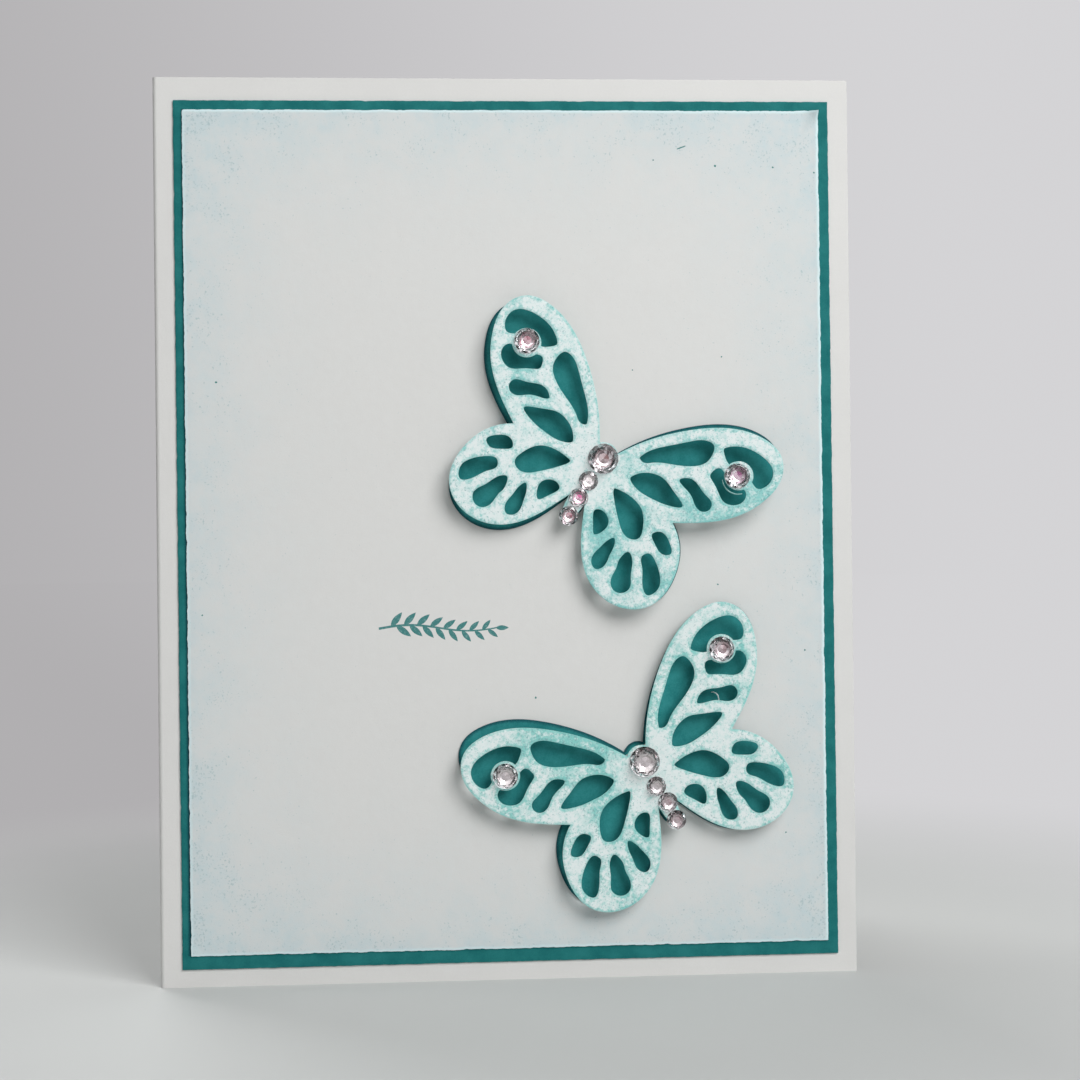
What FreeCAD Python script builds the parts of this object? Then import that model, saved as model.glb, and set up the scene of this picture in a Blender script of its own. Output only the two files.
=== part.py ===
import FreeCAD, Part

import math
import os

# A handmade greeting card that stands open on its bottom edges. Millimetres, +Z up.
# The front panel faces -Y, its fold is the left edge, and the back panel opens towards +Y.
# The origin is the middle of the card's footprint, on the surface it stands on.

Vector = FreeCAD.Vector

# Card blank: half a letter sheet, folded once.
CARD_WIDTH = 107.95
CARD_HEIGHT = 139.7
CARD_STOCK = 0.32
FOLD_INNER_RADIUS = 0.35
OPENING_ANGLE = 34.0
BACK_BOW_RADIUS = 900.0

# Sheets glued on the front, each a little smaller than the one below it.
LAYER_STOCK = 0.28
MAT_BORDER = 3.175
MAT_SHIFT_X = 0.12
MAT_SHIFT_Z = -0.35
MAT_TURN = -0.1
PANEL_SIDE_BORDER = 1.5
PANEL_END_BORDER = 1.8
PANEL_SHIFT_X = 0.0
PANEL_SHIFT_Z = -0.05
PANEL_TURN = -0.1

# Butterfly die: the same outline cuts the teal backing and the white top. The backing is glued
# flat, and the top's wings bend a little forwards between these distances from its middle.
WING_SPAN = 50.5
BEND_START = 2.5
BEND_END = 12.0

# Foam pads along the body that hold a butterfly's top off its backing.
PAD_SIDE = 4.6
PAD_THICKNESS = 1.6
PAD_GAP = 0.1

# Flat-backed faceted stones.
HEAD_GEM_DIAMETER = 4.7
WING_GEM_DIAMETER = 3.9
BODY_GEM_DIAMETER = 3.0
GEM_HEIGHT_RATIO = 0.42
GEM_GIRDLE_RATIO = 0.06
GEM_TABLE_RATIO = 0.52
GEM_STAR_RATIO = 0.76
GEM_FOLDS = 8
RING_WIDTH = 0.3

# The middle of the pair of butterflies, from the card's right and lower edges.
PAIR_FROM_RIGHT = 36.675
PAIR_ABOVE_BASE = 55.0

# Each butterfly: its place from the middle of the pair (it grows with the wing span), its heading
# (clockwise from straight up), how its backing lies under its top, how far the top's wings tilt
# forwards, and how its stones are set down.
BUTTERFLIES = {
    "upper": {
        "place": (-4.05, 23.43),
        "heading": 32.5,
        "backing_shift": (0.02, -0.18),
        "backing_turn": 2.6,
        "tilt": {"left": 2.0, "right": 4.0},
        "head_gem": (0.15, 2.45),
        "body_gems": [(0.0, 0.25), (0.1, 0.03), (0.25, 0.15)],
        "wing_gems": {"left": (-19.43, 11.55), "right": (19.12, 11.15)},
    },
    "lower": {
        "place": (4.15, -23.43),
        "heading": -29.6,
        "backing_shift": (-0.15, 0.49),
        "backing_turn": -2.3,
        "tilt": {"left": 1.0, "right": 2.0},
        "head_gem": (0.3, 2.25),
        "body_gems": [(-0.05, 0.34), (0.28, 0.03), (0.05, 0.03)],
        "wing_gems": {"left": (-19.32, 11.29), "right": (19.33, 11.24)},
    },
}

# The die's right half, in millimetres from the body's middle, y towards the head. The left half
# mirrors it. OUTLINE_SPAN is the wing span that these points draw.
OUTLINE_SPAN = 50.5
HEAD_TOP = (0.0, 5.0)
HEAD_NOTCH = (1.65, 4.3)
WING_NOTCH = (14.45, -0.3)
TAIL_ROOT = (1.4, -5.0)
FOREWING = [
    HEAD_NOTCH, (4.7, 8.75), (9.65, 13.7), (14.65, 17.0), (19.8, 18.25), (22.8, 17.65), (24.65, 15.75),
    (25.25, 13.0), (24.7, 10.2), (23.0, 6.7), (20.35, 3.75), (17.5, 1.6), WING_NOTCH,
]
HINDWING = [
    WING_NOTCH, (16.35, -1.75), (18.1, -4.2), (19.05, -7.3), (19.1, -10.6), (17.85, -13.5),
    (15.4, -15.3), (11.75, -15.85), (7.8, -14.45), (4.6, -11.2), (2.7, -7.8), TAIL_ROOT,
]
TAIL_SIDE = (1.1, -7.8)
TAIL_END = (0.0, -8.8)
RING_PLACE = (19.3, 11.3)
CUT_OUTS = {
    "leading_cell": [
        (4.85, 5.75), (5.6, 7.3), (7.9, 9.75), (10.3, 12.0), (12.2, 13.3), (13.6, 13.3),
        (14.15, 12.0), (13.95, 10.35), (12.4, 8.75), (9.6, 7.35), (6.9, 5.95), (5.4, 5.3),
    ],
    "tip_cell": [
        (15.3, 13.9), (17.2, 15.3), (20.5, 15.8), (23.3, 14.85), (23.95, 12.9), (22.75, 11.1),
        (21.4, 11.6), (19.3, 12.4), (17.3, 12.0), (15.9, 12.75),
    ],
    "tip_lower_cell": [
        (15.5, 9.6), (16.4, 10.8), (18.0, 10.2), (20.2, 10.0), (21.6, 9.65), (22.0, 8.4),
        (21.0, 7.0), (19.6, 6.6), (17.6, 7.7), (16.0, 8.6),
    ],
    "bar_cell": [
        (12.05, 6.3), (13.8, 7.05), (16.3, 6.15), (18.05, 5.4), (18.2, 4.4), (17.3, 3.55),
        (16.2, 3.7), (14.2, 5.0),
    ],
    "fore_base_cell": [
        (5.3, 2.4), (6.9, 4.15), (9.4, 4.85), (12.2, 3.9), (14.4, 2.6), (12.7, 1.7),
        (9.2, 1.15), (6.2, 1.5),
    ],
    "hind_base_cell": [
        (4.2, -0.4), (6.2, -0.2), (9.1, -0.9), (10.95, -3.3), (11.2, -5.2), (9.9, -5.9),
        (7.2, -4.4), (4.9, -2.0),
    ],
    "hind_small_cell": [
        (12.8, -3.1), (13.9, -2.4), (15.7, -3.15), (16.7, -4.6), (15.9, -5.2), (13.8, -4.5),
    ],
    "outer_ray": [
        (13.25, -6.8), (13.95, -6.2), (15.2, -6.65), (17.0, -8.2), (17.9, -10.2), (16.95, -11.85),
        (15.3, -10.6), (13.95, -8.5),
    ],
    "middle_ray": [
        (10.5, -8.7), (11.2, -7.7), (12.1, -8.35), (13.2, -10.5), (14.1, -12.5), (13.2, -13.8),
        (11.8, -13.8), (10.9, -12.6), (10.7, -10.6),
    ],
    "inner_ray": [
        (7.5, -7.6), (8.1, -7.05), (8.6, -7.9), (8.85, -9.8), (8.95, -11.6), (8.1, -12.6),
        (7.0, -12.1), (6.65, -10.6), (7.0, -9.1),
    ],
    "body_cell": [
        (3.45, -4.65), (4.5, -4.4), (6.0, -5.4), (6.1, -6.7), (5.1, -8.15), (4.1, -6.9),
    ],
}


def die_point(point, side=1):
    """A point of the die's drawing at the die's real size; side -1 mirrors it."""
    scale = WING_SPAN / OUTLINE_SPAN
    return Vector(side * point[0] * scale, point[1] * scale, 0)


def smooth_edge(points, closed=False):
    """A smooth curve through points; a closed one joins its end to its start smoothly."""
    curve = Part.BSplineCurve()
    curve.interpolate(Points=points, PeriodicFlag=closed)
    return curve.toShape()


def arc_edge(start, middle, end):
    return Part.Arc(start, middle, end).toShape()


def line_edge(start, end):
    return Part.LineSegment(start, end).toShape()


def folded_blank():
    """The card blank: front panel, rounded fold and gently bowed back panel, one sheet."""
    outer_radius = FOLD_INNER_RADIUS + CARD_STOCK
    fold_centre = Vector(outer_radius - CARD_WIDTH / 2, outer_radius, 0)
    back_length = CARD_WIDTH - outer_radius
    half_bow = math.degrees(math.asin(back_length / 2 / BACK_BOW_RADIUS))

    def back_normal(heading):
        angle = math.radians(heading)
        return Vector(-math.sin(angle), math.cos(angle), 0)

    start_normal = back_normal(OPENING_ANGLE + half_bow)
    middle_normal = back_normal(OPENING_ANGLE)
    end_normal = back_normal(OPENING_ANGLE - half_bow)
    bow_centre = fold_centre - start_normal * (BACK_BOW_RADIUS - outer_radius)
    inner_bow_radius = BACK_BOW_RADIUS - CARD_STOCK
    fold_middle = (start_normal + Vector(0, -1, 0)).normalize()

    front_outer_end = Vector(CARD_WIDTH / 2, 0, 0)
    front_inner_end = Vector(CARD_WIDTH / 2, CARD_STOCK, 0)
    front_outer_start = Vector(fold_centre.x, 0, 0)
    front_inner_start = Vector(fold_centre.x, CARD_STOCK, 0)
    back_outer_start = fold_centre + start_normal * outer_radius
    back_inner_start = fold_centre + start_normal * FOLD_INNER_RADIUS
    back_outer_end = bow_centre + end_normal * BACK_BOW_RADIUS
    back_inner_end = bow_centre + end_normal * inner_bow_radius

    profile = Part.Wire([
        line_edge(front_outer_end, front_outer_start),
        arc_edge(front_outer_start, fold_centre + fold_middle * outer_radius, back_outer_start),
        arc_edge(back_outer_start, bow_centre + middle_normal * BACK_BOW_RADIUS, back_outer_end),
        line_edge(back_outer_end, back_inner_end),
        arc_edge(back_inner_end, bow_centre + middle_normal * inner_bow_radius, back_inner_start),
        arc_edge(back_inner_start, fold_centre + fold_middle * FOLD_INNER_RADIUS, front_inner_start),
        line_edge(front_inner_start, front_inner_end),
        line_edge(front_inner_end, front_outer_end),
    ])
    return Part.Face(profile).extrude(Vector(0, 0, CARD_HEIGHT))


def glued_sheet(width, height, shift_x, shift_z, turn, back_y):
    """A flat sheet on the front, its back face at back_y, centred on the card plus a shift."""
    sheet = Part.makeBox(width, LAYER_STOCK, height)
    sheet.translate(Vector(-width / 2, back_y - LAYER_STOCK, -height / 2))
    sheet.rotate(Vector(0, 0, 0), Vector(0, 1, 0), turn)
    sheet.translate(Vector(shift_x, 0, CARD_HEIGHT / 2 + shift_z))
    return sheet


def die_outline():
    """The butterfly's outline, drawn in the XY plane with the head towards +Y."""
    edges = [arc_edge(die_point(HEAD_NOTCH, -1), die_point(HEAD_TOP), die_point(HEAD_NOTCH))]
    for side in (1, -1):
        edges.append(smooth_edge([die_point(point, side) for point in FOREWING]))
        edges.append(smooth_edge([die_point(point, side) for point in HINDWING]))
        edges.append(line_edge(die_point(TAIL_ROOT, side), die_point(TAIL_SIDE, side)))
    edges.append(arc_edge(die_point(TAIL_SIDE), die_point(TAIL_END), die_point(TAIL_SIDE, -1)))
    return Part.Wire(Part.__sortEdges__(edges))


def die_prism(wire, height):
    return Part.Face(wire).extrude(Vector(0, 0, height))


def bend_radius(tilt):
    return (BEND_END - BEND_START) / math.sin(math.radians(tilt))


def wing_lift(distance, tilt):
    """How far the underside stands forwards at a distance from the body, past the bend."""
    angle = math.radians(tilt)
    return bend_radius(tilt) * (1 - math.cos(angle)) + (distance - BEND_END) * math.tan(angle)


def bent_sheet(tilts, reach):
    """A sheet that is flat along the body, bends on each side and runs on straight."""
    wings = []
    for side, tilt in ((-1, tilts["left"]), (1, tilts["right"])):
        angle = math.radians(tilt)
        radius = bend_radius(tilt)
        centre = Vector(side * BEND_START, 0, radius)
        outward = Vector(side * math.sin(angle), 0, -math.cos(angle))
        halfway = Vector(side * math.sin(angle / 2), 0, -math.cos(angle / 2))
        run = Vector(side * math.cos(angle), 0, math.sin(angle)) * (reach - BEND_END)
        wings.append({
            "under": [
                centre + Vector(0, 0, -radius),
                centre + halfway * radius,
                centre + outward * radius,
                centre + outward * radius + run,
            ],
            "over": [
                centre + Vector(0, 0, LAYER_STOCK - radius),
                centre + halfway * (radius - LAYER_STOCK),
                centre + outward * (radius - LAYER_STOCK),
                centre + outward * (radius - LAYER_STOCK) + run,
            ],
        })
    left, right = wings
    edges = []
    for face in ("under", "over"):
        edges.append(line_edge(left[face][0], right[face][0]))
        for wing in wings:
            edges.append(arc_edge(wing[face][0], wing[face][1], wing[face][2]))
            edges.append(line_edge(wing[face][2], wing[face][3]))
    for wing in wings:
        edges.append(line_edge(wing["under"][3], wing["over"][3]))
    profile = Part.Wire(Part.__sortEdges__(edges))
    sheet = Part.Face(profile).extrude(Vector(0, 2 * reach, 0))
    sheet.translate(Vector(0, -reach, 0))
    return sheet


def butterfly_backing(spec):
    """The teal butterfly: the die's whole outline, lying flat on z = 0."""
    backing = die_prism(die_outline(), LAYER_STOCK)
    backing.rotate(Vector(0, 0, 0), Vector(0, 0, 1), spec["backing_turn"])
    backing.translate(Vector(spec["backing_shift"][0], spec["backing_shift"][1], 0))
    return backing


def butterfly_top(spec):
    """The white butterfly, z = 0 under its body: cut-outs in the wings, and a ring left standing
    for each wing stone."""
    # Far enough to reach past the wing tips in every direction.
    past_edges = 0.7 * WING_SPAN
    prism = die_prism(die_outline(), past_edges)
    ring_radius = WING_GEM_DIAMETER / 2 + RING_WIDTH
    for side in (1, -1):
        ring = Part.makeCylinder(ring_radius, past_edges, die_point(RING_PLACE, side))
        cells = []
        for points in CUT_OUTS.values():
            loop = smooth_edge([die_point(point, side) for point in points], closed=True)
            cells.append(die_prism(Part.Wire(loop), past_edges).cut(ring))
        prism = prism.cut(cells)
    return prism.common(bent_sheet(spec["tilt"], past_edges))


def foam_pad(upper_edge):
    pad = Part.makeBox(PAD_SIDE, PAD_SIDE, PAD_THICKNESS)
    pad.translate(Vector(-PAD_SIDE / 2, upper_edge - PAD_SIDE, LAYER_STOCK))
    return pad


def faceted_gem(diameter):
    """A flat-backed stone on z = 0: a short girdle, then girdle, kite and star facets and a table."""
    radius = diameter / 2
    height = diameter * GEM_HEIGHT_RATIO
    girdle = diameter * GEM_GIRDLE_RATIO
    table_radius = radius * GEM_TABLE_RATIO
    star_radius = radius * GEM_STAR_RATIO
    step = 180.0 / GEM_FOLDS
    slope = (height - girdle) / (radius - table_radius)
    star_height = height - slope * (star_radius * math.cos(math.radians(step)) - table_radius)

    def ring(ring_radius, z, count, start):
        angles = [math.radians(start + index * 360.0 / count) for index in range(count)]
        return [Vector(ring_radius * math.cos(a), ring_radius * math.sin(a), z) for a in angles]

    base = ring(radius, 0, 2 * GEM_FOLDS, 0)
    waist = ring(radius, girdle, 2 * GEM_FOLDS, 0)
    star = ring(star_radius, star_height, GEM_FOLDS, step)
    table = ring(table_radius, height, GEM_FOLDS, 0)
    loops = [base, table]
    for index in range(GEM_FOLDS):
        before = (index - 1) % GEM_FOLDS
        after = (index + 1) % GEM_FOLDS
        corner = 2 * index
        middle = 2 * index + 1
        beyond = (2 * index + 2) % (2 * GEM_FOLDS)
        loops.append([base[corner], base[middle], waist[middle], waist[corner]])
        loops.append([base[middle], base[beyond], waist[beyond], waist[middle]])
        loops.append([waist[corner], waist[middle], star[index]])
        loops.append([waist[middle], waist[beyond], star[index]])
        loops.append([table[index], star[before], waist[corner], star[index]])
        loops.append([table[index], table[after], star[index]])
    faces = [Part.Face(Part.makePolygon(loop + loop[:1])) for loop in loops]
    return Part.makeSolid(Part.makeShell(faces))


def wing_gem(spec, side):
    """A stone seated square on the straight part of a wing's front face."""
    sign = -1 if side == "left" else 1
    tilt = spec["tilt"][side]
    place = die_point(spec["wing_gems"][side])
    under = wing_lift(abs(place.x), tilt)
    face_z = under + LAYER_STOCK / math.cos(math.radians(tilt))
    gem = faceted_gem(WING_GEM_DIAMETER)
    gem.rotate(Vector(0, 0, 0), Vector(0, 1, 0), -sign * tilt)
    gem.translate(Vector(place.x, place.y, face_z))
    return gem


def body_gems(spec):
    """The head stone and the row of smaller ones below it, each clear of the last."""
    gems = {"head": faceted_gem(HEAD_GEM_DIAMETER)}
    y = spec["head_gem"][1]
    gems["head"].translate(Vector(spec["head_gem"][0], y, LAYER_STOCK))
    last_radius = HEAD_GEM_DIAMETER / 2
    for index, (x, gap) in enumerate(spec["body_gems"], start=1):
        y -= last_radius + BODY_GEM_DIAMETER / 2 + gap
        last_radius = BODY_GEM_DIAMETER / 2
        gem = faceted_gem(BODY_GEM_DIAMETER)
        gem.translate(Vector(x, y, LAYER_STOCK))
        gems["body_%d" % index] = gem
    return gems


def butterfly(name, spec):
    """Every piece of one butterfly, lying on z = 0 with its head towards +Y."""
    pieces = {name + "_butterfly_backing": butterfly_backing(spec)}
    pads_from = die_point(HEAD_NOTCH).y
    pieces[name + "_pad_head"] = foam_pad(pads_from)
    pieces[name + "_pad_tail"] = foam_pad(pads_from - PAD_SIDE - PAD_GAP)

    layers = {"butterfly_top": butterfly_top(spec)}
    for place, gem in body_gems(spec).items():
        layers["gem_" + place] = gem
    for side in ("left", "right"):
        layers["gem_%s_wing" % side] = wing_gem(spec, side)
    for part_name, shape in layers.items():
        shape.translate(Vector(0, 0, LAYER_STOCK + PAD_THICKNESS))
        pieces[name + "_" + part_name] = shape
    return pieces


def stand_on_front(shape, spec, face_y):
    """Turns a piece that lies on z = 0 to face -Y and sets it on the panel's face."""
    shape.rotate(Vector(0, 0, 0), Vector(1, 0, 0), 90)
    shape.rotate(Vector(0, 0, 0), Vector(0, 1, 0), spec["heading"])
    place = die_point(spec["place"])
    shape.translate(
        Vector(CARD_WIDTH / 2 - PAIR_FROM_RIGHT + place.x, face_y, PAIR_ABOVE_BASE + place.y))


def build():
    mat_width = CARD_WIDTH - 2 * MAT_BORDER
    mat_height = CARD_HEIGHT - 2 * MAT_BORDER
    panel_width = mat_width - 2 * PANEL_SIDE_BORDER
    panel_height = mat_height - 2 * PANEL_END_BORDER
    nodes = {"card_base": folded_blank()}
    nodes["teal_mat"] = glued_sheet(mat_width, mat_height, MAT_SHIFT_X, MAT_SHIFT_Z, MAT_TURN, 0)
    nodes["sponged_panel"] = glued_sheet(
        panel_width, panel_height, PANEL_SHIFT_X, PANEL_SHIFT_Z, PANEL_TURN, -LAYER_STOCK)
    for name, spec in BUTTERFLIES.items():
        for node, shape in butterfly(name, spec).items():
            stand_on_front(shape, spec, -2 * LAYER_STOCK)
            nodes[node] = shape
    box = Part.makeCompound(list(nodes.values())).optimalBoundingBox(False)
    for shape in nodes.values():
        shape.translate(Vector(0, -box.Center.y, 0))
    return nodes


os.makedirs("parts", exist_ok=True)
for node, shape in build().items():
    solid = shape.Solids[0]
    print("%-26s solids %d  valid %s  volume %.3f mm3" % (
        node, len(shape.Solids), solid.isValid(), solid.Volume))
    solid.exportStep("parts/%s.step" % node)
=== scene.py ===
import math
import random

import bmesh
import bpy
from mathutils import Matrix, Vector, kdtree, noise
from mathutils.bvhtree import BVHTree
from mathutils.geometry import delaunay_2d_cdt

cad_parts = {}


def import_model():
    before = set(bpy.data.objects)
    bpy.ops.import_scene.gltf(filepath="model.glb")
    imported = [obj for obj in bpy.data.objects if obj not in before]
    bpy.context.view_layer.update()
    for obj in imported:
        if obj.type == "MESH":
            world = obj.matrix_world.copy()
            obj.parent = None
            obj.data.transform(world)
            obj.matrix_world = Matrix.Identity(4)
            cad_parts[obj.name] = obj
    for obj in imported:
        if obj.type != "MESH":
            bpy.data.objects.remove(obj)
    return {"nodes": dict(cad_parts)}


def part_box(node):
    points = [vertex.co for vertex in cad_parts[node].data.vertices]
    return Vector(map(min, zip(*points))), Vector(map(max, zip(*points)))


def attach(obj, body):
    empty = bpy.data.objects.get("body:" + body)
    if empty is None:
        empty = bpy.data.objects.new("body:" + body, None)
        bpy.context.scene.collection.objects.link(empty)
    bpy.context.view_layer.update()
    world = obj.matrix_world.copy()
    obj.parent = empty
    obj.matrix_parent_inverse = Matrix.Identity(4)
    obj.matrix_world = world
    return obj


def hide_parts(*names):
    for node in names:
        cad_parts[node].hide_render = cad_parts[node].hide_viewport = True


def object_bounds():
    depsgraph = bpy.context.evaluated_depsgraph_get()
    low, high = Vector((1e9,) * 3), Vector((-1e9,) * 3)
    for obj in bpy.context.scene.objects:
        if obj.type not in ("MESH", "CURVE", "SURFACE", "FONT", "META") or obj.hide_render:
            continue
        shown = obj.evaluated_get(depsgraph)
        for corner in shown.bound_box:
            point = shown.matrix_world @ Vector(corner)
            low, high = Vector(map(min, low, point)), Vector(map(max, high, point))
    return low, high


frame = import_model()
nodes = frame["nodes"]
cad_low, cad_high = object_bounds()

# A handmade card, standing open: white folded blank, teal mat, sponged white panel, and two raised
# butterflies of teal backing and sponged white top, set with faceted stones. Lengths are metres.
MM = 0.001
BUTTERFLIES = ("upper", "lower")
STONES = ("head", "body_1", "body_2", "body_3", "left_wing", "right_wing")
PADS = ("head", "tail")

card_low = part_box("card_base")[0]
mat_low, mat_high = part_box("teal_mat")
panel_low, panel_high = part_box("sponged_panel")
FACE_Y = card_low.y
SHEET = mat_high.y - mat_low.y


def colour(red, green, blue):
    return (red, green, blue, 1.0)


# The camera: a 60 mm lens on a 36 mm wide frame, a little left of the card's middle. Its angles are
# in degrees.
LENS = 60.0
SENSOR_WIDTH = 36.0
CAMERA_X = -12.2 * MM
CAMERA_BACK = 278.95 * MM
CAMERA_Z = 66.55 * MM
CAMERA_YAW = 3.52
CAMERA_PITCH = 0.30
CAMERA_ROLL = 0.61

# Cut sheets: the spacing of their points along the outlines and inside, and the insets of the rings
# of points that follow each outline. A ring's point is left out where a cut is nearer than
# RING_CLEARANCE of its inset, and the inner points stay further from every cut than GRID_CLEARANCE
# of the last inset.
OUTLINE_STEP = 0.22 * MM
DIE_CUT_STEP = 0.9 * MM
FLAT_STEP = 3.0 * MM
RING_INSETS = (0.13 * MM, 0.4 * MM)
RING_CLEARANCE = 0.92
GRID_CLEARANCE = 1.6

# How far a sheet's face rolls back at its cut edge, and at the first ring, which reaches a little
# further in than its inset.
EDGE_DROP = 0.045 * MM
RING_DROP = 0.2 * EDGE_DROP
RING_REACH = 1.1

# The turn that makes an outline's corner sharp, the angles that show as a crease, the normal's y
# below which a face looks at the reader, and how close two points are welded.
CORNER_TURN = math.radians(30)
SHEET_CREASE = math.radians(45)
FOAM_CREASE = math.radians(40)
FACES_READER = -0.5
WELD = 0.002 * MM

# The two hand-trimmed flat sheets: the steps along their edges, round their corners and where the
# wavering fades towards a corner, how far the edges waver, the radii of the corners from the lower
# left round, and how the sheets lie.
TRIM_STEP = 1.3 * OUTLINE_STEP
TRIM_CORNER_STEPS = 4
TRIM_FADE_STEPS = 4
MAT_WOBBLE = 0.09 * MM
MAT_RADII = (0.1 * MM, 0.1 * MM, 0.1 * MM, 0.1 * MM)
PANEL_WOBBLE = 0.16 * MM
PANEL_RADII = (0.12 * MM, 0.12 * MM, 0.08 * MM, 0.3 * MM)
CURL_LIFT = 0.9 * MM
CURL_REACH = 2.6 * MM
SHEET_WAVE = 0.02 * MM
WAVES_PER_METRE = 25

# The light: a broad soft window from the upper right in front, a weaker one behind, and a pale
# room. Its wall goes from the left colour to the right one as the direction's share along
# WALL_ACROSS grows. Stones mirror a dark side and, towards the window, a bright one. The table
# runs out into the wall between two distances in millimetres.
WINDOW_FROM = Vector((0.47, -0.66, 0.58))
WINDOW_POWER = 5.5
BEHIND_FROM = Vector((-0.45, 0.75, 0.50))
BEHIND_POWER = 3.4
LAMP_DISTANCE = 0.75
LAMP_SIZE = 0.48
ROOM_LIGHT = colour(0.225, 0.225, 0.23)
# The wall's left colour is darker than its right as painted shade.
WALL_LEFT = colour(0.44, 0.43, 0.44)
WALL_RIGHT = colour(0.66, 0.655, 0.67)
ROOM_DARK_SIDE = colour(0.16, 0.15, 0.155)
ROOM_BRIGHT_SIDE = colour(1.5, 1.5, 1.52)
WALL_ACROSS = (1.0, 0.0, 0.15)
WALL_REACH = 0.32
MIRROR_REACH = (0.1, 0.85)
TABLE_FADES = 75.0
TABLE_ENDS = 210.0
FLOOR_RADIUS = 4.0
FLOOR_SIDES = 64
LAMP_AIM = Vector((0, FACE_Y, 70 * MM))

# Colours. In a pair, a surface runs unevenly from the first to the second.
BLANK_TONES = (colour(0.67, 0.665, 0.65), colour(0.71, 0.705, 0.69))
BLANK_FLECKS = colour(0.635, 0.63, 0.61)
MAT_TONES = (colour(0.007, 0.128, 0.130), colour(0.020, 0.188, 0.186))
BACKING_TONES = (colour(0.016, 0.182, 0.186), colour(0.036, 0.268, 0.268))
# The next colour is painted shade: the dark teal of the shadow line on the mat and of the shaded rims of
# the backings.
PAINTED_SHADE = colour(0.003, 0.022, 0.040)
PANEL_TONES = (colour(0.665, 0.66, 0.645), colour(0.695, 0.695, 0.68))
PANEL_WASH = colour(0.50, 0.62, 0.65)
PANEL_FRECKLES = colour(0.27, 0.42, 0.44)
PANEL_EDGE_HIGHLIGHT = colour(0.66, 0.83, 0.86)
STAMP_TONES = (colour(0.040, 0.190, 0.185), colour(0.38, 0.55, 0.54))
TOP_WHITE = colour(0.78, 0.835, 0.83)
TOP_INKS = {"upper": colour(0.22, 0.57, 0.545), "lower": colour(0.20, 0.57, 0.53)}
TOP_SPECKS = colour(0.17, 0.36, 0.37)
STONE_BODY = colour(0.98, 0.97, 0.98)
# Painted reflections in the stones' foil: facets from dark to bright, and a painted glint in the heart.
FACET_REFLECTIONS = (colour(0.14, 0.085, 0.095), colour(1.0, 0.98, 0.99))
HEART_GLINT = colour(1.0, 0.95, 0.97)
FOAM_TONES = (colour(0.66, 0.66, 0.64), colour(0.82, 0.82, 0.80))
GLUE_TONES = (colour(0.16, 0.42, 0.40), colour(0.40, 0.66, 0.64))
FIBRE_TONES = (colour(0.66, 0.74, 0.73), colour(0.80, 0.84, 0.83))
TABLE_TONES = (colour(0.53, 0.545, 0.535), colour(0.56, 0.57, 0.56))

# How far from the panel's edges its ink fades, in millimetres.
INK_FADE = 8.0


# ------------------------------------------------------------------ materials

class Graph:
    """The nodes of a material or a world. Each call adds one node and returns its output."""

    def __init__(self, owner):
        owner.use_nodes = True
        self.owner = owner
        self.nodes = owner.node_tree.nodes
        self.links = owner.node_tree.links
        self.nodes.clear()

    def add(self, kind, inputs, out=0, **settings):
        node = self.nodes.new("ShaderNode" + kind)
        for key, value in settings.items():
            setattr(node, key, value)
        for key, value in inputs.items():
            if isinstance(value, bpy.types.NodeSocket):
                self.links.new(value, node.inputs[key])
            else:
                node.inputs[key].default_value = value
        return node.outputs[out]

    def millimetres(self):
        """The point's place in the part's own frame, in millimetres."""
        place = self.add("TexCoord", {}, out=3)
        return self.add("VectorMath", {0: place, 3: 1 / MM}, operation="SCALE")

    def axes(self, place):
        """The x, y and z of a place, as three outputs."""
        split = self.nodes.new("ShaderNodeSeparateXYZ")
        self.links.new(place, split.inputs[0])
        return split.outputs

    def math(self, operation, first, second=0.0, third=0.0, clamp=False):
        inputs = {0: first, 1: second, 2: third}
        return self.add("Math", inputs, operation=operation, use_clamp=clamp)

    def ramp(self, value, low, high, low_value=0.0, high_value=1.0):
        """A smooth step from low_value at low to high_value at high."""
        inputs = {0: value, 1: low, 2: high, 3: low_value, 4: high_value}
        return self.add("MapRange", inputs, interpolation_type="SMOOTHSTEP")

    def noise(self, place, per_mm, detail=2.0, roughness=0.5):
        inputs = {"Vector": place, "Scale": per_mm, "Detail": detail, "Roughness": roughness}
        return self.add("TexNoise", inputs)

    def mix(self, share, first, second):
        inputs = {0: share, 6: first, 7: second}
        return self.add("Mix", inputs, out=2, data_type="RGBA")

    def attribute(self, name):
        return self.add("Attribute", {}, out=2, attribute_name=name)

    def bump(self, height, depth_mm):
        return self.add("Bump", {"Height": height, "Distance": depth_mm * MM, "Strength": 1.0})

    def finish(self, **inputs):
        """Ends the material in one Principled shader. A name's underscores stand for spaces."""
        named = {key.replace("_", " "): value for key, value in inputs.items()}
        return self.end("Material", self.add("BsdfPrincipled", named))

    def end(self, kind, shader):
        """Ends a material or a world in this shader."""
        output = self.nodes.new("ShaderNodeOutput" + kind)
        self.links.new(shader, output.inputs["Surface"])
        return self.owner


def material_graph(name):
    return Graph(bpy.data.materials.new(name))


def paper_bump(graph, place, depth_mm):
    """The felt side of card stock: fine fibres over a slow unevenness."""
    fibres = graph.noise(place, 5.0, detail=4.0, roughness=0.7)
    waves = graph.noise(place, 0.5, detail=1.0)
    height = graph.math("MULTIPLY_ADD", waves, 1.5, fibres)
    return graph.bump(height, depth_mm)


def white_card():
    graph = material_graph("white_card")
    place = graph.millimetres()
    cloud = graph.noise(place, 0.12, detail=3.0)
    fleck = graph.noise(place, 3.0, detail=3.0, roughness=0.7)
    base = graph.mix(cloud, *BLANK_TONES)
    shade = graph.ramp(fleck, 0.3, 0.7, 0.0, 0.25)
    base = graph.mix(shade, base, BLANK_FLECKS)
    return graph.finish(Base_Color=base, Roughness=0.85, Normal=paper_bump(graph, place, 0.02))


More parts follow.
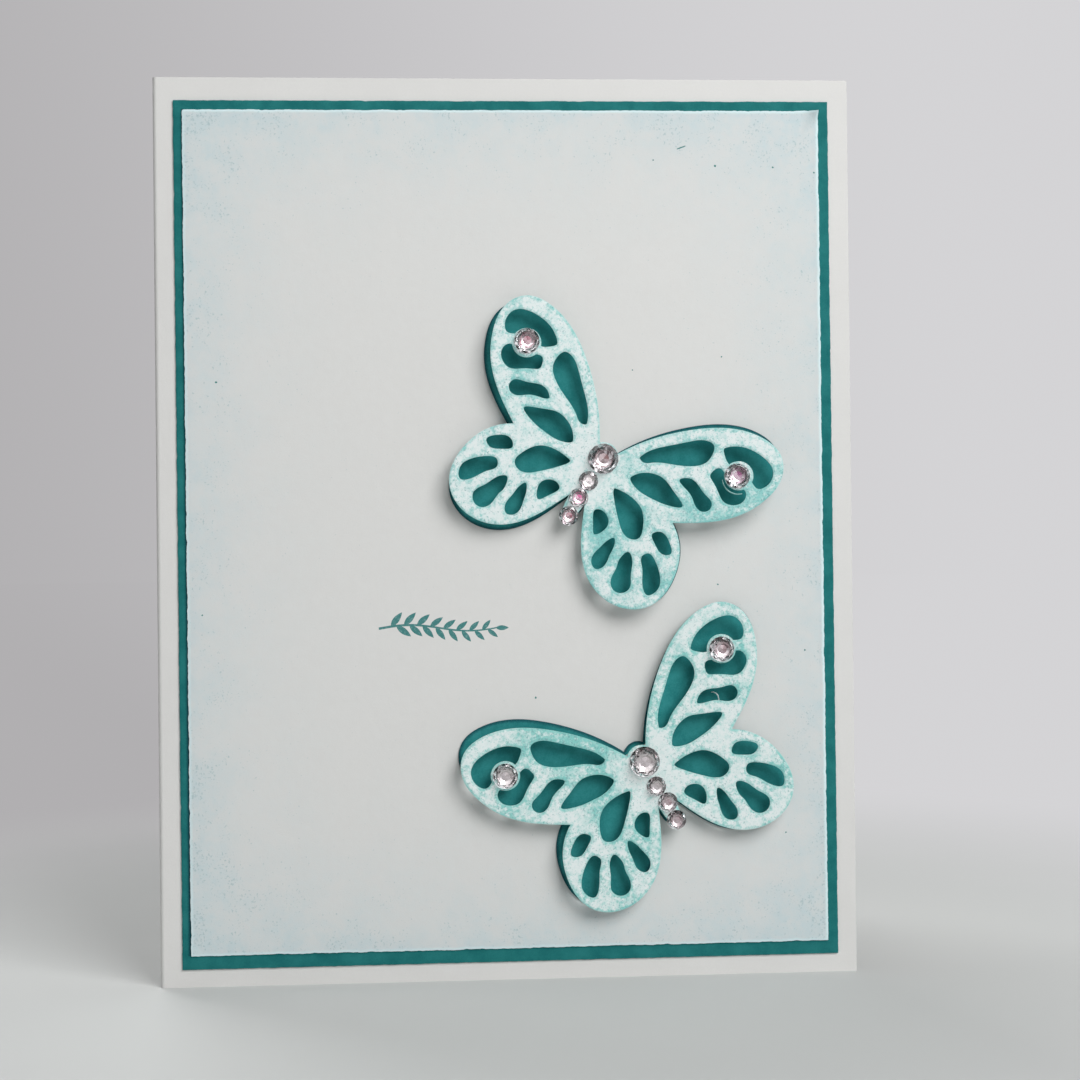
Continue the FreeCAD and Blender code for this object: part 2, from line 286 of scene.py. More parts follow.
def panel_edge_painted_shadow(graph, place, fleck):
    """Painted shadow: a dark line on the mat along the panel's left edge, where the panel's thickness
    shades it.
    """
    x, _, z = graph.axes(place)
    middle = (panel_low.z + panel_high.z) / 2 / MM
    half_height = (panel_high.z - panel_low.z) / 2 / MM
    beside = graph.math("SUBTRACT", panel_low.x / MM + 0.2, x)
    ragged = graph.math("MULTIPLY_ADD", fleck, 0.35, beside)
    line = graph.ramp(ragged, 0.30, 0.80, 0.75, 0.0)
    line = graph.math("MULTIPLY", line, graph.math("GREATER_THAN", beside))
    off_middle = graph.math("ABSOLUTE", graph.math("SUBTRACT", z, middle))
    return graph.math("MULTIPLY", line, graph.math("LESS_THAN", off_middle, half_height))


def backing_rim_painted_shade(graph, place, fleck):
    """Painted shade: darker along a die-cut sheet's outline, standing in for the shade the raised top
    sheet casts on the backing's edge.
    """
    ragged = graph.math("MULTIPLY_ADD", fleck, 0.4, graph.attribute("rim"))
    return graph.ramp(ragged, 0.30, 0.85, 0.70, 0.0)


def teal_card(name, tones, ink):
    """Teal card stock, dyed through, with a fine uneven tone. ink() is where painted shade darkens it."""
    graph = material_graph(name)
    place = graph.millimetres()
    cloud = graph.noise(place, 0.35, detail=4.0, roughness=0.6)
    fleck = graph.noise(place, 4.0, detail=3.0, roughness=0.7)
    tone = graph.math("MULTIPLY_ADD", fleck, 0.5, cloud)
    base = graph.mix(graph.ramp(tone, 0.45, 1.05), *tones)
    # Painted shade: the dark colour goes where ink() marks the sheet.
    base = graph.mix(ink(graph, place, fleck), base, PAINTED_SHADE)
    bump = paper_bump(graph, place, 0.025)
    return graph.finish(Base_Color=base, Roughness=0.8, Specular_IOR_Level=0.12, Normal=bump)


def edge_nearness(graph, place, low, high):
    """How strongly a point feels the sheet's four edges: 1 on an edge, and less further in."""
    x, _, z = graph.axes(place)
    total = 0.0
    for axis, edge, way in ((x, low.x, 1), (x, high.x, -1), (z, low.z, 1), (z, high.z, -1)):
        inside = graph.math("SUBTRACT", axis, edge / MM)
        fade = graph.math("MULTIPLY", inside, -way / INK_FADE)
        total = graph.math("ADD", graph.math("EXPONENT", fade), total)
    return total


def sponged_base(graph, place):
    """White card whose borders are dabbed with pale teal ink, with fine freckles of it all over."""
    edge = edge_nearness(graph, place, panel_low, panel_high)
    patch = graph.noise(place, 0.14, detail=3.0, roughness=0.6)
    wash = graph.math("MULTIPLY", edge, graph.ramp(patch, 0.36, 0.62, 0.50, 1.0), clamp=True)
    cloud = graph.noise(place, 0.8, detail=4.0, roughness=0.65)
    base = graph.mix(cloud, *PANEL_TONES)
    soft = graph.ramp(cloud, 0.25, 0.75, 0.50, 0.85)
    base = graph.mix(graph.math("MULTIPLY", wash, soft), base, PANEL_WASH)
    cluster = graph.ramp(graph.noise(place, 0.22, detail=2.0), 0.38, 0.64, 0.0, 0.09)
    cluster = graph.math("MULTIPLY", cluster, graph.math("MULTIPLY_ADD", wash, 1.4, 0.25, clamp=True))
    start = graph.math("MULTIPLY_ADD", wash, -0.10, graph.math("SUBTRACT", 0.715, cluster))
    freckle = graph.noise(place, 2.9, detail=2.0, roughness=0.6)
    freckle = graph.ramp(freckle, start, graph.math("ADD", start, 0.12), 0.0, 0.50)
    return graph.mix(freckle, base, PANEL_FRECKLES)


def sponged_card():
    graph = material_graph("sponged_card")
    place = graph.millimetres()
    base = sponged_base(graph, place)
    # Painted highlight: a bright cyan-white line along the panel's cut edges.
    rim = graph.ramp(graph.attribute("rim"), 0.1, 0.55, 0.75, 0.0)
    base = graph.mix(rim, base, PANEL_EDGE_HIGHLIGHT)
    return graph.finish(Base_Color=base, Roughness=0.85, Normal=paper_bump(graph, place, 0.02))


def stamped_ink():
    """Teal ink pressed into the panel: a little thin in places, so the paper shows through."""
    graph = material_graph("stamped_ink")
    place = graph.millimetres()
    thin = graph.ramp(graph.noise(place, 3.2, detail=4.0, roughness=0.7), 0.5, 0.72, 0.0, 0.4)
    base = graph.mix(thin, *STAMP_TONES)
    return graph.finish(Base_Color=base, Roughness=0.75, Normal=paper_bump(graph, place, 0.015))


def butterfly_card(name, ink):
    """White card sponged with teal: a cloudy wash, soft grains and darker specks, all of them denser
    where the sponge was dabbed and along every cut edge."""
    graph = material_graph(name)
    place = graph.millimetres()
    cluster = graph.noise(place, 0.42, detail=2.0)
    ragged = graph.noise(place, 1.3, detail=3.0, roughness=0.65)
    reach = graph.math("MULTIPLY_ADD", ragged, 1.5, -0.3)
    rim = graph.math("DIVIDE", graph.attribute("rim"), reach)
    rim = graph.ramp(rim, 0.3, 1.4, 0.42, 0.0)
    load = graph.math("MULTIPLY_ADD", cluster, 0.7, -0.35)
    load = graph.math("ADD", load, graph.math("ADD", rim, graph.attribute("dabbed")))
    wash = graph.math("MULTIPLY_ADD", ragged, 1.6, graph.math("SUBTRACT", load, 0.62))
    wash = graph.ramp(wash, 0.0, 1.1, 0.05, 0.85)
    base = graph.mix(wash, TOP_WHITE, ink)
    grain = graph.noise(place, 2.2, detail=3.0, roughness=0.75)
    start = graph.math("MULTIPLY_ADD", load, -0.20, 0.55)
    grain = graph.ramp(grain, start, graph.math("ADD", start, 0.15), 0.0, 0.60)
    base = graph.mix(grain, base, ink)
    speck = graph.noise(place, 3.4, detail=1.5, roughness=0.6)
    start = graph.math("MULTIPLY_ADD", load, -0.12, 0.60)
    speck = graph.ramp(speck, start, graph.math("ADD", start, 0.14), 0.0, 0.60)
    base = graph.mix(speck, base, TOP_SPECKS)
    bump = paper_bump(graph, place, 0.02)
    return graph.finish(Base_Color=base, Roughness=0.8, Specular_IOR_Level=0.25, Normal=bump)


def stone_glass():
    graph = material_graph("stone_glass")
    return graph.finish(Base_Color=STONE_BODY, Roughness=0.015, IOR=1.56, Transmission_Weight=1.0)


def foil_with_painted_reflections(name, heart):
    """The mirror behind a stone, with painted reflections: facets from dark to bright, and in its middle
    the heart's painted reflection with a painted glint.
    """
    graph = material_graph(name)
    shine = graph.attribute("shine")
    facets = graph.mix(shine, *FACET_REFLECTIONS)
    middle = graph.mix(graph.math("MULTIPLY", shine, 0.35), heart, HEART_GLINT)
    base = graph.mix(graph.attribute("heart"), facets, middle)
    return graph.finish(Base_Color=base, Metallic=1.0, Roughness=0.10)


def white_foam():
    graph = material_graph("white_foam")
    place = graph.millimetres()
    cells = graph.add("TexVoronoi", {"Vector": place, "Scale": 4.5})
    # Painted shade: the pits of the foam's cells are coloured darker.
    pore = graph.ramp(cells, 0.1, 0.5)
    base = graph.mix(pore, *FOAM_TONES)
    return graph.finish(Base_Color=base, Roughness=0.9, Normal=graph.bump(pore, 0.06))


# ------------------------------------------------------------------ sheets

def placed(name, data):
    """Puts an object in the scene."""
    thing = bpy.data.objects.new(name, data)
    bpy.context.scene.collection.objects.link(thing)
    return thing


def shown(name, mesh, slot, *replaced):
    """Puts a finished mesh in the scene, in place of the CAD nodes it stands for, if there are any."""
    piece = placed(name, mesh)
    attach(piece, "root")
    if replaced:
        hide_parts(*replaced)
    return piece


def welded(node):
    """A CAD node's mesh with the seams between its faces closed."""
    bm = bmesh.new()
    bm.from_mesh(nodes[node].data)
    bmesh.ops.remove_doubles(bm, verts=bm.verts, dist=WELD)
    return bm


def outlines(bm):
    """The closed outlines of the side that faces the reader, counterclockwise, as (x, z) points."""
    front = {face for face in bm.faces if face.normal.y < FACES_READER}
    links = {}
    for edge in bm.edges:
        if sum(face in front for face in edge.link_faces) == 1:
            first, second = edge.verts
            links.setdefault(first, []).append(second)
            links.setdefault(second, []).append(first)
    loops = []
    seen = set()
    for start in links:
        current = None if start in seen else start
        loop = []
        while current is not None:
            seen.add(current)
            loop.append(Vector((current.co.x, current.co.z)))
            current = next((vert for vert in links[current] if vert not in seen), None)
        if loop:
            turn = sum(loop[i - 1].cross(loop[i]) for i in range(len(loop)))
            loops.append(loop if turn > 0 else loop[::-1])
    return loops


def smoothed(loop, step):
    """A closed outline with curves between its points, and its sharp corners kept."""
    count = len(loop)
    ways = [(loop[(i + 1) % count] - loop[i]).normalized() for i in range(count)]
    points = []
    for i in range(count):
        start = loop[i]
        end = loop[(i + 1) % count]
        before, way, after = ways[i - 1], ways[i], ways[(i + 1) % count]
        leave = way if before.angle(way) > CORNER_TURN else (before + way).normalized()
        reach = way if way.angle(after) > CORNER_TURN else (way + after).normalized()
        length = (end - start).length
        cuts = max(1, round(length / step))
        for k in range(cuts):
            t = k / cuts
            points.append(
                start * (2 * t ** 3 - 3 * t ** 2 + 1) + leave * length * (t ** 3 - 2 * t ** 2 + t)
                + end * (3 * t ** 2 - 2 * t ** 3) + reach * length * (t ** 3 - t ** 2))
    return points


def nearest_tree(points):
    tree = kdtree.KDTree(len(points))
    for index, point in enumerate(points):
        tree.insert((point.x, point.y, 0), index)
    tree.balance()
    return tree


def edge_gap(tree, point):
    """How far a point is from the nearest point of the outlines."""
    return tree.find((point.x, point.y, 0))[2]


def inside_points(loops, tree, step):
    """Points for a sheet's face: rings just inside every outline, and a staggered grid."""
    points = []
    for loop in loops:
        for i, point in enumerate(loop):
            along = (loop[(i + 1) % len(loop)] - loop[i - 1]).normalized()
            across = Vector((-along.y, along.x))
            for inset in RING_INSETS:
                for side in (inset, -inset):
                    moved = point + across * side
                    if edge_gap(tree, moved) > inset * RING_CLEARANCE:
                        points.append(moved)
    low = Vector((min(p.x for p in loops[0]), min(p.y for p in loops[0])))
    high = Vector((max(p.x for p in loops[0]), max(p.y for p in loops[0])))
    for row in range(math.ceil((high.y - low.y) / step)):
        for column in range(math.ceil((high.x - low.x) / step)):
            point = low + Vector((column + 0.5 * (row % 2), row)) * step
            if edge_gap(tree, point) > RING_INSETS[-1] * GRID_CLEARANCE:
                points.append(point)
    return points


def triangulated(loops, tree, step, prints):
    """A flat sheet's points and triangles, and for each triangle whether it lies in a print. The
    first loop is the sheet's outline, and the others are its holes."""
    points = []
    shapes = []
    for shape in loops + list(prints):
        shapes.append([len(points) + i for i in range(len(shape))])
        points += shape
    points += inside_points(loops, tree, step)
    scaled = [point / MM for point in points]
    flat, _, triangles, _, _, sources = delaunay_2d_cdt(scaled, [], shapes, 1, 1e-5)
    holes = set(range(1, len(loops)))
    kept = [k for k, source in enumerate(sources) if not holes.intersection(source)]
    flat = [Vector(point) * MM for point in flat]
    return flat, [triangles[k] for k in kept], [max(sources[k]) >= len(loops) for k in kept]


def open_edges(triangles):
    """The edges that only one triangle has, in its direction."""
    pairs = {}
    for triangle in triangles:
        for i in range(3):
            edge = (triangle[i], triangle[(i + 1) % 3])
            pairs.setdefault(frozenset(edge), []).append(edge)
    return [edges[0] for edges in pairs.values() if len(edges) == 1]


def cut_sheet(name, loops, face_y, thickness, step, prints=()):
    """A thin sheet cut to these outlines. face_y(point) is the y of its face, and each point keeps
    its distance from the nearest cut as the attribute rim, in millimetres. Faces inside the printed
    outlines get the second material."""
    loops = sorted(loops, key=lambda loop: min(point.x for point in loop))
    tree = nearest_tree([point for loop in loops for point in loop])
    flat, triangles, printed = triangulated(loops, tree, step, prints)
    gaps = [edge_gap(tree, point) for point in flat]
    cut_edges = open_edges(triangles)
    on_cut = {index for pair in cut_edges for index in pair}

    verts = []
    for index, point in enumerate(flat):
        drop = 0.0
        if index in on_cut:
            drop = EDGE_DROP
        elif gaps[index] < RING_INSETS[0] * RING_REACH:
            drop = RING_DROP
        verts.append((point.x, face_y(point) + drop, point.y))
    verts += [(point.x, face_y(point) + thickness, point.y) for point in flat]
    shift = len(flat)
    faces = [tuple(triangle) for triangle in triangles]
    faces += [tuple(index + shift for index in reversed(triangle)) for triangle in triangles]
    faces += [(second, first, first + shift, second + shift) for first, second in cut_edges]
    mesh = bpy.data.meshes.new(name)
    mesh.from_pydata(verts, [], faces)
    for index, is_print in enumerate(printed):
        if is_print:
            mesh.polygons[index].material_index = 1
    rim = mesh.attributes.new("rim", "FLOAT", "POINT")
    rim.data.foreach_set("value", [gap / MM for gap in gaps] * 2)
    mesh.shade_smooth()
    mesh.set_sharp_from_angle(angle=SHEET_CREASE)
    return mesh


def die_cut(node, slot, material):
    """One bent die-cut sheet: the CAD node's outlines and surface, with finer edges."""
    bm = welded(node)
    loops = [smoothed(loop, OUTLINE_STEP) for loop in outlines(bm)]
    back = [face for face in bm.faces if face.normal.y > FACES_READER]
    bmesh.ops.delete(bm, geom=back, context="FACES")
    surface = BVHTree.FromBMesh(bm)

    def face_y(point):
        """The y of the CAD face, or of its nearest point where its coarser outline falls short."""
        start = Vector((point.x, cad_low.y - MM, point.y))
        hit = surface.ray_cast(start, Vector((0, 1, 0)))[0]
        if hit is None:
            hit = surface.find_nearest(Vector((point.x, FACE_Y, point.y)))[0]
        return hit.y

    mesh = cut_sheet(node + "_sheet", loops, face_y, SHEET, DIE_CUT_STEP)
    mesh.materials.append(material)
    bm.free()
    return shown(node + "_sheet", mesh, slot, node)


def dab(mesh, dabs):
    """Marks how much ink the sponge left at each point, from dabs of (x, z, radius, amount)."""
    amounts = []
    for vert in mesh.vertices:
        point = Vector((vert.co.x, vert.co.z)) / MM
        amounts.append(sum(
            amount * math.exp(-((point - Vector((x, z))).length / radius) ** 2)
            for x, z, radius, amount in dabs))
    layer = mesh.attributes.new("dabbed", "FLOAT", "POINT")
    layer.data.foreach_set("value", amounts)


def corners(node):
    """A flat sheet's four front corners, counterclockwise from the lower left, as (x, z)."""
    low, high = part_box(node)
    middle = (low + high) / 2
    front = [vert.co for vert in nodes[node].data.vertices if vert.co.y < middle.y]
    places = {(round(place.x, 6), round(place.z, 6)) for place in front}

    def heading(place):
        return math.atan2(place[1] - middle.z, place[0] - middle.x)

    return [Vector(place) for place in sorted(places, key=heading)]


def corner_arc(corner, arrive, leave, radius):
    """Points round a small corner, from the edge that arrives there to the one that leaves."""
    centre = corner - arrive * radius + leave * radius
    points = []
    for k in range(TRIM_CORNER_STEPS + 1):
        angle = math.radians(90 * k / TRIM_CORNER_STEPS)
        points.append(centre - leave * radius * math.cos(angle) + arrive * radius * math.sin(angle))
    return points


def trimmed_edge(start, end, inward, wobble, seed):
    """Points along a hand-cut edge, which wavers in and out and has a nick here and there."""
    count = round((end - start).length / TRIM_STEP)
    points = []
    for k in range(1, count):
        place = start.lerp(end, k / count)
        fade = min(1.0, k / TRIM_FADE_STEPS, (count - k) / TRIM_FADE_STEPS)
        spot = Vector((place.x, place.y, seed * MM)) / MM
        slow = noise.noise(spot * 0.35)
        fast = noise.noise(spot * 1.9)
        nick = max(0.0, noise.noise(spot * 0.9 + Vector((7.0, 3.0, 5.0))) - 0.3)
        offset = slow * 0.6 + fast * 0.5 + nick * 1.4
        points.append(place + inward * offset * wobble * fade)
    return points


def rough_outline(points, radii, wobble, seed):
    """A hand-cut rectangle: small round corners and wavering edges."""
    outline = []
    for index, corner in enumerate(points):
        after = points[(index + 1) % 4]
        before = points[index - 1]
        leave = (after - corner).normalized()
        arrive = (corner - before).normalized()
        inward = Vector((-leave.y, leave.x))
        start = corner + leave * radii[index]
        end = after - leave * radii[(index + 1) % 4]
        outline += corner_arc(corner, arrive, leave, radii[index])
        outline += trimmed_edge(start, end, inward, wobble, seed)
    return outline


def flat_sheet(node, slot, materials, radii, wobble, seed, lift=0.0, prints=()):
    """A hand-trimmed flat sheet. Its upper right corner curls forwards by lift."""
    low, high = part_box(node)
    points = corners(node)
    outline = rough_outline(points, radii, wobble, seed)
    upper_right = points[2]

    def face_y(point):
        near = max(0.0, 1 - (point - upper_right).length / CURL_REACH)
        wave = noise.noise(Vector((point.x, seed * MM, point.y)) * WAVES_PER_METRE) * SHEET_WAVE
        return low.y - lift * near * near + max(0.0, wave)

    mesh = cut_sheet(node + "_sheet", [outline], face_y, high.y - low.y, FLAT_STEP, prints)
    for material in materials:
        mesh.materials.append(material)
    return shown(node + "_sheet", mesh, slot, node)


# ------------------------------------------------------------------ prints on the panel

# The stamped sprig's middle, from the card's middle and its lower edge. Its stem waves, and thins by
# STEM_TAPER over its length. Its leaves stand in pairs, the lower one a little further along, and
# shrink towards the tip. Places along the stem run from 0 to 1.
SPRIG_X = -10.8 * MM
SPRIG_Z = 54.6 * MM
SPRIG_LENGTH = 18.6 * MM
STEM_WAVE = 0.5 * MM
STEM_STEPS = 36
STEM_HALF_WIDTH = 0.19
STEM_TAPER = 0.09
LEAF_PAIRS = 8
FIRST_PAIR = 0.10
PAIR_SPACING = 0.108
LOWER_OFFSET = 0.045
LEAF_SHRINK = 0.35
LEAF_STEPS = 8
LEAF_ANGLE = math.radians(44)
LEAF_LENGTH = 2.9 * MM
LEAF_WIDTH = 1.05 * MM
TIP_PLACE = 0.97
TIP_LENGTH = 2.0 * MM
TIP_WIDTH = 0.8 * MM


def leaf(root, angle, length, width):
    """An almond leaf from its root, as a closed outline."""
    way = Vector((math.cos(angle), math.sin(angle)))
    side = Vector((-way.y, way.x))
    upper = []
    lower = []
    for k in range(LEAF_STEPS + 1):
        t = k / LEAF_STEPS
        half = width / 2 * math.sin(math.pi * t) ** 0.8 * (1.15 - 0.4 * t)
        middle = root + way * length * t
        upper.append(middle + side * half)
        lower.append(middle - side * half)
    return lower + upper[-2:0:-1]


def sprig():
    """A leafy sprig lying along the panel: a waving stem that tapers, paired leaves and one at the
    tip."""
    left = SPRIG_X - SPRIG_LENGTH / 2

    def stem(t):
        return Vector((left + SPRIG_LENGTH * t, SPRIG_Z + STEM_WAVE * math.sin(2 * math.pi * t)))

    edge_above = []
    edge_below = []
    for k in range(STEM_STEPS + 1):
        t = k / STEM_STEPS
        way = (stem(t + 0.01) - stem(t - 0.01)).normalized()
        side = Vector((-way.y, way.x))
        half = (STEM_HALF_WIDTH - STEM_TAPER * t) * MM
        edge_above.append(stem(t) + side * half)
        edge_below.append(stem(t) - side * half)
    shapes = [edge_below + edge_above[::-1]]
    for k in range(LEAF_PAIRS):
        t = FIRST_PAIR + PAIR_SPACING * k
        way = stem(t + 0.01) - stem(t - 0.01)
        heading = math.atan2(way.y, way.x)
        size = 1 - LEAF_SHRINK * t
        for side, offset in ((1, 0.0), (-1, LOWER_OFFSET)):
            angle = heading + side * LEAF_ANGLE
            shapes.append(leaf(stem(t + offset), angle, LEAF_LENGTH * size, LEAF_WIDTH * size))
    shapes.append(leaf(stem(TIP_PLACE), 0.0, TIP_LENGTH, TIP_WIDTH))
    return shapes


# Single specks of ink on the panel: x, z and radius in millimetres, and a smear: x, z, length,
# width, and how far it is turned.
SPECKS = (
    (32.9, 126.1, 0.17), (42.0, 125.9, 0.16), (23.2, 127.0, 0.13), (48.5, 125.1, 0.13),
    (19.6, 94.3, 0.12), (33.6, 96.3, 0.13), (32.6, 60.8, 0.14), (4.0, 43.6, 0.16),
    (46.2, 50.4, 0.14), (42.9, 22.0, 0.14), (-44.6, 92.7, 0.17), (-47.0, 57.0, 0.13),
)
SMEAR = (27.7, 129.0, 0.75, 0.11, math.radians(20))
SPECK_CORNERS = 10
SPECK_REACH = (0.75, 1.2)


def specks():
    """The specks, and one smear, as small uneven outlines."""
    draw = random.Random(5)
    shapes = []
    for x, z, radius in SPECKS:
        shapes.append(blob(x, z, radius, radius, 0, draw))
    shapes.append(blob(*SMEAR, draw))
    return shapes


def blob(x, z, length, width, turn, draw):
    """An uneven oval about a point, counterclockwise. Sizes are in millimetres."""
    points = []
    for k in range(SPECK_CORNERS):
        angle = 2 * math.pi * k / SPECK_CORNERS
        reach = draw.uniform(*SPECK_REACH)
        along = Vector((length * math.cos(angle), width * math.sin(angle))) * reach
        along.rotate(Matrix.Rotation(turn, 2))
        points.append((Vector((x, z)) + along) * MM)
    return points


# Where the sponge left more ink on each butterfly: x, z, radius in millimetres, and how much.
DABS = {
    "upper": [
        (2.0, 93.0, 2.2, 0.35), (3.5, 88.5, 2.5, 0.25), (8.0, 101.0, 3.0, 0.15), (-6.0, 73.0, 3.0, 0.15),
        (14.0, 70.0, 2.6, 0.7), (15.5, 66.5, 2.6, 0.6), (18.5, 79.5, 2.4, 0.45), (21.5, 71.0, 2.2, 0.45),
        (28.0, 72.3, 2.4, 0.6), (33.0, 71.3, 2.4, 0.6), (38.5, 74.5, 2.4, 0.6), (24.8, 61.5, 2.6, 0.5),
        (12.0, 62.0, 2.2, 0.35), (18.0, 58.5, 2.5, 0.35), (31.0, 84.0, 3.0, 0.15),
    ],
    "lower": [
        (3.0, 36.8, 3.0, 0.55), (8.8, 37.3, 2.6, 0.65), (14.0, 35.0, 2.4, 0.6), (8.0, 31.5, 2.2, 0.5),
        (14.0, 30.0, 2.4, 0.55), (13.0, 26.0, 2.2, 0.45), (17.0, 22.0, 2.2, 0.35), (0.0, 28.0, 3.0, 0.3),
        (23.0, 42.0, 2.2, 0.4), (25.5, 49.5, 2.4, 0.35), (35.5, 50.5, 2.0, 0.35), (35.5, 45.5, 2.0, 0.3),
        (41.3, 31.5, 2.4, 0.35), (21.0, 20.5, 2.0, 0.35), (17.0, 12.5, 2.4, 0.35), (10.0, 13.0, 2.5, 0.15),
    ],
}


# ------------------------------------------------------------------ stones and pads

# The foil under a stone: how far it stands off the card, and its rings of small facets, as shares
# of the stone's radius: how far out each ring is, and how high.
GLUE = 0.02 * MM
FOIL_RINGS = ((0.62, 0.13), (0.35, 0.08))
FOIL_TIP = 0.09

# How bright a foil facet's painted reflection is: middling, more on the side away from the
# window, and one of the steps brighter or darker.
SHINE_MIDDLE = 0.66
SHINE_SLOPE = 0.36
SHINE_WAY = Vector((0.66, 0.75))
SHINE_STEPS = (-0.5, -0.25, 0.0, 0.25, 0.4)

# The painted reflection in the middle of each stone's foil, named by its colour, and how much of it
# the next ring of facets takes.
HEART_REFLECTIONS = {
    "silver": (colour(0.60, 0.56, 0.55), 0.9),
    "blush": (colour(0.42, 0.30, 0.31), 0.3),
    "brown": (colour(0.15, 0.07, 0.07), 0.0),
    "pink": (colour(0.46, 0.10, 0.24), 0.1),
    "rose": (colour(0.22, 0.05, 0.08), 0.1),
    "purple": (colour(0.16, 0.02, 0.10), 0.2),
}
# Which painted reflection each stone's foil gets, in the order of STONES.
STONE_HEART_REFLECTIONS = {
    "upper": ("brown", "silver", "pink", "rose", "rose", "purple"),
    "lower": ("silver", "silver", "blush", "blush", "silver", "blush"),
}


def facet_shine(offset, seed):
    """The painted reflection on one foil facet: brighter away from the window, and uneven."""
    way = offset.normalized() if offset.length > 0 else Vector((0, 0))
    lit = SHINE_MIDDLE - SHINE_SLOPE * way.dot(SHINE_WAY) + random.Random(seed).choice(SHINE_STEPS)
    return min(1.0, max(0.0, lit))


def foil_facets(bm, rim, centre, forward, radius):
    """Fills a stone's open back with a shallow faceted mirror: rings of triangles, and a tip. Each
    facet comes with its ring and its sector."""
    outer = rim
    foil_faces = []
    for level, (share, rise) in enumerate(FOIL_RINGS):
        count = len(outer)
        ring = []
        for i in range(count):
            between = (outer[i].co + outer[(i + 1) % count].co) / 2 - centre
            between -= forward * between.dot(forward)
            reach = between.normalized() * radius * share
            ring.append(bm.verts.new(centre + reach + forward * radius * rise))
        for i in range(count):
            after = (i + 1) % count
            sector = (i + level) // 2
            foil_faces.append((bm.faces.new((outer[i], outer[after], ring[i])), level, sector))
            foil_faces.append((bm.faces.new((ring[i], outer[after], ring[after])), level, sector))
        outer = ring
    tip = bm.verts.new(centre + forward * radius * FOIL_TIP)
    for i in range(len(outer)):
        face = bm.faces.new((outer[i], outer[(i + 1) % len(outer)], tip))
        foil_faces.append((face, len(FOIL_RINGS), i // 3))
    return foil_faces


def stone(butterfly, place, glass, foil, heart_spread):
    """One faceted stone: the CAD node's facets in glass, over a mirror of small shallow facets."""
    node = "%s_gem_%s" % (butterfly, place)
    bm = welded(node)
    shine = bm.faces.layers.float.new("shine")
    heart = bm.faces.layers.float.new("heart")
    flat = [edge for edge in bm.edges if edge.calc_face_angle(0) < math.radians(1)]
    bmesh.ops.dissolve_edges(bm, edges=flat)
    back = max(bm.faces, key=lambda face: face.normal.y)
    forward = -back.normal
    centre = back.calc_center_median() + forward * GLUE
    rim = list(back.verts)
    radius = (rim[0].co - centre).length
    bmesh.ops.delete(bm, geom=[back], context="FACES_ONLY")
    for vert in rim:
        vert.co += forward * GLUE
    for face, level, sector in foil_facets(bm, rim, centre, forward, radius):
        offset = face.calc_center_median() - centre
        face.material_index = 1
        face[shine] = facet_shine(Vector((offset.x, offset.z)), "%s %s %s" % (node, level, sector))
        face[heart] = (0.0, heart_spread, 1.0)[level]
    bmesh.ops.recalc_face_normals(bm, faces=bm.faces)
    mesh = bpy.data.meshes.new(node + "_stone")
    bm.to_mesh(mesh)
    bm.free()
    mesh.materials.append(glass)
    mesh.materials.append(foil)
    return shown(node + "_stone", mesh, "rhinestone", node)


# How far a foam pad's sides are drawn in, as a share of its width, and the cuts across its sides.
FOAM_PINCH = 0.035
FOAM_CUTS = 7


def foam_pad(butterfly, place, material):
    """A foam square, drawn in a little round its waist, between two sheets."""
    node = "%s_pad_%s" % (butterfly, place)
    bm = welded(node)
    bmesh.ops.subdivide_edges(bm, edges=bm.edges, cuts=FOAM_CUTS, use_grid_fill=True)
    low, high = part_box(node)
    centre = (low + high) / 2
    half_depth = (high.y - low.y) / 2
    for vert in bm.verts:
        level = (vert.co.y - centre.y) / half_depth
        pinch = FOAM_PINCH * (1 - level * level)
        vert.co.x += (centre.x - vert.co.x) * pinch
        vert.co.z += (centre.z - vert.co.z) * pinch
    mesh = bpy.data.meshes.new(node + "_foam")
    bm.to_mesh(mesh)
    bm.free()
    mesh.materials.append(material)
    mesh.shade_smooth()
    mesh.set_sharp_from_angle(angle=FOAM_CREASE)
    piece = shown(node + "_foam", mesh, "foam", node)
    return piece


# ------------------------------------------------------------------ threads

THREAD_SIDES = 6
THREAD_END = 0.35

# The arc of dried glue round a wing stone: its centre from the stone's, its radius, its start and
# turn in degrees, and the radius of its thread. The paper fibre's route: x, height off the backing,
# and z, in millimetres, and the radius of its thread.
ARC_CENTRE = Vector((0.15, 0, -0.35)) * MM
ARC_RADIUS = 2.45 * MM
ARC_START = 185
ARC_TURN = 100
ARC_STEPS = 16
ARC_THREAD = 0.11 * MM
FIBRE = (
    (31.30, 0.15, 44.05), (31.65, 0.30, 44.10), (32.05, 0.50, 43.90), (32.30, 0.65, 43.55),
    (32.40, 0.60, 43.10), (32.50, 0.40, 42.65), (32.62, 0.15, 42.30),
)
FIBRE_THREAD = 0.10 * MM


def thread(name, route, radius, material):
    """A thin round thread through these points, tapered towards both ends."""
    count = len(route)
    bm = bmesh.new()
    rings = []
    for index, point in enumerate(route):
        way = (route[min(index + 1, count - 1)] - route[max(index - 1, 0)]).normalized()
        across = way.cross(Vector((0, 1, 0))).normalized()
        over = way.cross(across)
        swell = math.sin(math.pi * (index + 0.5) / count)
        size = radius * (THREAD_END + (1 - THREAD_END) * swell)
        ring = []
        for k in range(THREAD_SIDES):
            angle = 2 * math.pi * k / THREAD_SIDES
            ring.append(bm.verts.new(point + (across * math.cos(angle) + over * math.sin(angle)) * size))
        rings.append(ring)
    for first, second in zip(rings, rings[1:]):
        for k in range(THREAD_SIDES):
            after = (k + 1) % THREAD_SIDES
            bm.faces.new((first[k], first[after], second[after], second[k]))
    bm.faces.new(rings[0])
    bm.faces.new(rings[-1])
    bmesh.ops.recalc_face_normals(bm, faces=bm.faces)
    mesh = bpy.data.meshes.new(name)
    bm.to_mesh(mesh)
    bm.free()
    mesh.materials.append(material)
    mesh.shade_smooth()
    shown(name, mesh, "butterfly_card")


